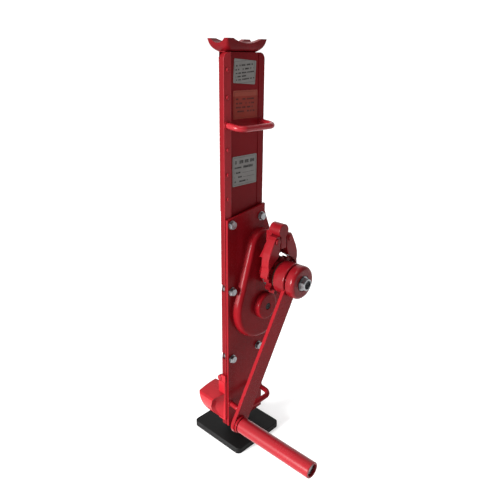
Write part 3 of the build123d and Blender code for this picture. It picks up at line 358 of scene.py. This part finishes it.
def bead(name, points, radius, closed=False):
    """A weld bead along points (in mm): a tube whose ripples overlap like dropped coins."""
    path = [Vector(point) * MM for point in points]
    if closed:
        path.append(path[0])
    spots = []
    for near, far in zip(path, path[1:]):
        count = max(2, int((far - near).length / (radius * 0.00045)))
        spots += [near.lerp(far, k / count) for k in range(count)]
    if not closed:
        spots.append(path[-1])
    mesh = bmesh.new()
    rings = []
    for index, spot in enumerate(spots):
        ahead = spots[(index + 1) % len(spots)] if closed or index + 1 < len(spots) else spot
        behind = spots[index - 1] if closed or index else spot
        along = (ahead - behind).normalized()
        side = along.orthogonal().normalized()
        other = along.cross(side)
        wide = radius * MM * (1 + 0.12 * math.sin(index * 2.1) + 0.10 * wobble(index))
        if not closed and index in (0, len(spots) - 1):
            wide *= 0.45
        rings.append([mesh.verts.new(spot + (side * math.cos(a) + other * math.sin(a)) * wide)
                      for a in (2 * math.pi * k / BEAD_SIDES for k in range(BEAD_SIDES))])
    pairs = list(zip(rings, rings[1:] + rings[:1] if closed else rings[1:]))
    for near, far in pairs:
        for k in range(BEAD_SIDES):
            m = (k + 1) % BEAD_SIDES
            mesh.faces.new((near[k], near[m], far[m], far[k]))
    if not closed:
        mesh.faces.new(rings[0])
        mesh.faces.new(rings[-1])
    return piece(name, mesh, "housing", "red_paint")


def ring_points(centre, radius, count=28):
    """Points round a circle about an axis along Y, in mm."""
    x, y, z = centre
    turns = [2 * math.pi * k / count for k in range(count)]
    return [(x + radius * math.cos(a), y, z + radius * math.sin(a)) for a in turns]


def turned(name, centre, profile, body, look, count=40):
    """A piece turned about an axis along Y. profile is a list of (radius, y) in mm."""
    mesh = bmesh.new()
    rows = []
    for radius, y in profile:
        if radius == 0:
            rows.append([mesh.verts.new((centre[0] / 1000, y / 1000, centre[1] / 1000))])
            continue
        rows.append([mesh.verts.new(((centre[0] + radius * math.cos(a)) / 1000, y / 1000,
                                     (centre[1] + radius * math.sin(a)) / 1000))
                     for a in (2 * math.pi * k / count for k in range(count))])
    for near, far in zip(rows, rows[1:]):
        for k in range(count):
            m = (k + 1) % count
            corners = [near[0] if len(near) == 1 else near[k], near[0] if len(near) == 1 else near[m],
                       far[0] if len(far) == 1 else far[m], far[0] if len(far) == 1 else far[k]]
            mesh.faces.new(list(dict.fromkeys(corners)))
    return piece(name, mesh, body, look)


def make_welds():
    """Beads where the handles, toe, crown and pinion case are welded on."""
    for side, label in ((-41, "left"), (41, "right")):
        upper_y = -19.6 if side < 0 else -18.2
        bead("upper_handle_weld_" + label, ring_points((side, upper_y, 624), 5.6), 1.3, True)
        bead("lower_handle_weld_" + label, ring_points((side, -25.2, 90), 5.8), 1.5, True)
    bead("toe_weld_front", [(-47.7, -20.0, 56), (-47.7, -20.0, 100), (-47.7, -20.0, 152)], 1.2)
    bead("crown_weld_front", [(-31, -10.2, 735.4), (0, -10.4, 735.4), (31, -10.2, 735.4)], 1.5)
    bead("crown_weld_rear", [(-31, 7.6, 735.4), (0, 7.8, 735.4), (31, 7.6, 735.4)], 1.5)
    for side, label in ((-1, "left"), (1, "right")):
        bead("crown_weld_" + label, [(34 * side, -8, 735.4), (34 * side, 5, 735.4)], 1.5)
        bead("casing_seam_" + label, [(46.9 * side, -7.9, 480), (46.9 * side, -7.9, 728)], 1.0)
    bead("case_weld_right", [(47.6, -8.2, 331.2), (47.6, 20, 331.2)], 1.2)


def make_plug():
    """A dark plug in the middle of the gear boss, with a raised rim and a dimple: painted shade that stands
    in for the shadowed hole there.
    """
    profile = [(0, -50.4), (1.6, -50.5), (2.4, -51.3), (4.6, -51.6), (6.2, -51.1), (6.8, -50.0), (6.8, -46.0)]
    turned("gear_boss_plug", PLUG_CENTRE, profile, "housing", "hole_shade_dark")


# --- stage, lights and camera ----------------------------------------------------------------------
def make_floor():
    """A plain pale sheet, wide enough to reach the horizon."""
    mesh = bmesh.new()
    mesh.faces.new([mesh.verts.new((FLOOR_RADIUS * math.cos(a), FLOOR_RADIUS * math.sin(a), 0))
                    for a in (math.pi * k / 16 for k in range(32))])
    data = bpy.data.meshes.new("floor")
    mesh.to_mesh(data)
    mesh.free()
    floor = bpy.data.objects.new("floor", data)
    scene.collection.objects.link(floor)
    g = Graph("floor_paper")
    tone = g.span(g.noise(2.0, 2.0), 0.3, 0.7, 0.80, 0.82)
    colour = g.node("ShaderNodeCombineColor", {0: tone, 1: tone, 2: tone})
    floor.data.materials.append(g.finish(Base_Color=colour, Roughness=0.95, Specular_IOR_Level=0.1,
                                         Emission_Color=(1, 1, 1, 1), Emission_Strength=FLOOR_GLOW))


def area_light(name, place, aim, size, power):
    data = bpy.data.lights.new(name, "AREA")
    data.shape = "RECTANGLE"
    data.size, data.size_y = size
    data.energy = power
    light = bpy.data.objects.new(name, data)
    light.location = place
    light.rotation_mode = "QUATERNION"
    light.rotation_quaternion = (Vector(aim) - Vector(place)).to_track_quat("-Z", "Y")
    scene.collection.objects.link(light)


def sun(name, toward, spread, strength):
    data = bpy.data.lights.new(name, "SUN")
    data.angle = math.radians(spread)
    data.energy = strength
    light = bpy.data.objects.new(name, data)
    light.rotation_mode = "QUATERNION"
    light.rotation_quaternion = Vector(toward).to_track_quat("-Z", "Y")
    scene.collection.objects.link(light)


def make_lights():
    """A white room that is dimmer towards the front, a broad low key from the left, a soft top light."""
    world = bpy.data.worlds.new("studio")
    world.use_nodes = True
    nodes, links = world.node_tree.nodes, world.node_tree.links
    place = nodes.new("ShaderNodeTexCoord")
    toward = nodes.new("ShaderNodeVectorMath")
    toward.operation = "DOT_PRODUCT"
    toward.inputs[1].default_value = ROOM_TOWARD
    level = nodes.new("ShaderNodeMapRange")
    span = {"From Min": -0.35, "From Max": 0.45, "To Min": ROOM_DIM, "To Max": ROOM_BRIGHT}
    for socket, value in span.items():
        level.inputs[socket].default_value = value
    links.new(place.outputs["Generated"], toward.inputs[0])
    links.new(toward.outputs["Value"], level.inputs["Value"])
    links.new(level.outputs[0], nodes["Background"].inputs[1])
    nodes["Background"].inputs[0].default_value = (1.0, 1.0, 1.0, 1.0)
    scene.world = world
    sun("key", KEY_TOWARD, KEY_SPREAD, KEY)
    area_light("top", TOP_PLACE, TOP_AIM, (0.7, 0.7), TOP)


def make_camera():
    azimuth, pitch, roll = (math.radians(a) for a in (CAMERA_AZIMUTH, CAMERA_PITCH, CAMERA_ROLL))
    level = Vector((math.cos(azimuth), math.sin(azimuth), 0))
    ahead = (-math.sin(azimuth), math.cos(azimuth))
    look = Vector((ahead[0] * math.cos(pitch), ahead[1] * math.cos(pitch), -math.sin(pitch)))
    rise = Vector((ahead[0] * math.sin(pitch), ahead[1] * math.sin(pitch), math.cos(pitch)))
    right = level * math.cos(roll) + rise * math.sin(roll)
    up = rise * math.cos(roll) - level * math.sin(roll)
    data = bpy.data.cameras.new("camera")
    data.sensor_width = SENSOR
    data.lens = LENS
    camera = bpy.data.objects.new("camera", data)
    camera.matrix_world = Matrix.Translation(CAMERA_PLACE) @ Matrix((
        (right.x, up.x, -look.x, 0), (right.y, up.y, -look.y, 0), (right.z, up.z, -look.z, 0), (0, 0, 0, 1)))
    scene.collection.objects.link(camera)
    scene.camera = camera


make_welds()
make_plug()
make_floor()
make_lights()
make_camera()
scene.view_settings.view_transform = "Standard"
